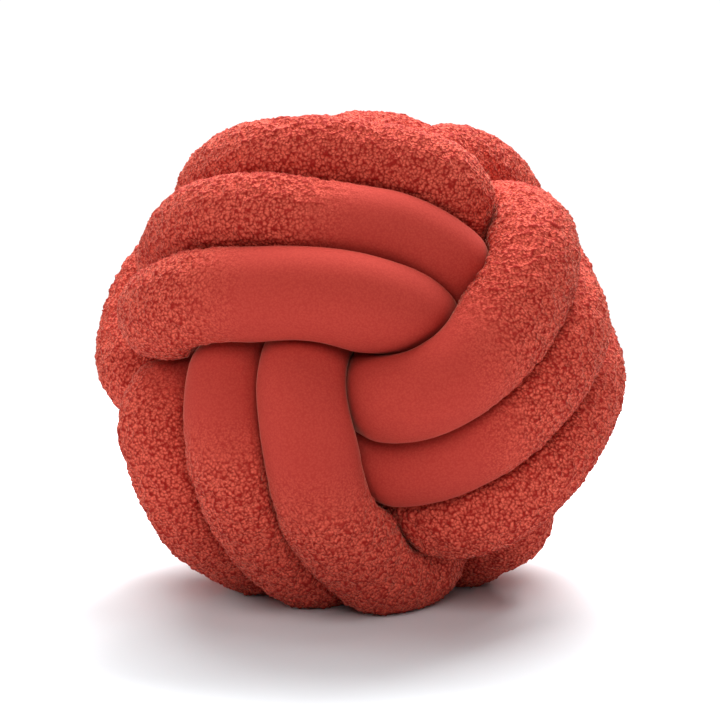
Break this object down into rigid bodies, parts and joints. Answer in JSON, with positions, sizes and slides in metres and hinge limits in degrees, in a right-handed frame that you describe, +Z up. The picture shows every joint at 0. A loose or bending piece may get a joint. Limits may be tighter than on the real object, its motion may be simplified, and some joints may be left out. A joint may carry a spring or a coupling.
{
  "type": "knot cushion",
  "caption": "Ball-shaped knot cushion wound from one long stuffed tube of curly teddy fleece in three interlocking groups of parallel turns.",
  "frame": {"origin": "centre of the bounding box's bottom, on the surface that the ball rests on", "axes": "+Z up; the side that the picture shows faces -Y; +X to the viewer's right"},
  "size_m": [0.3007, 0.3, 0.2741],
  "materials": {
    "teddy_fleece": "coral-red polyester teddy fleece with a short curly pile, worn smooth where the groups of turns meet in front"
  },
  "bodies": {
    "root": {"knot_tube": "teddy_fleece"}
  },
  "joints": []
}
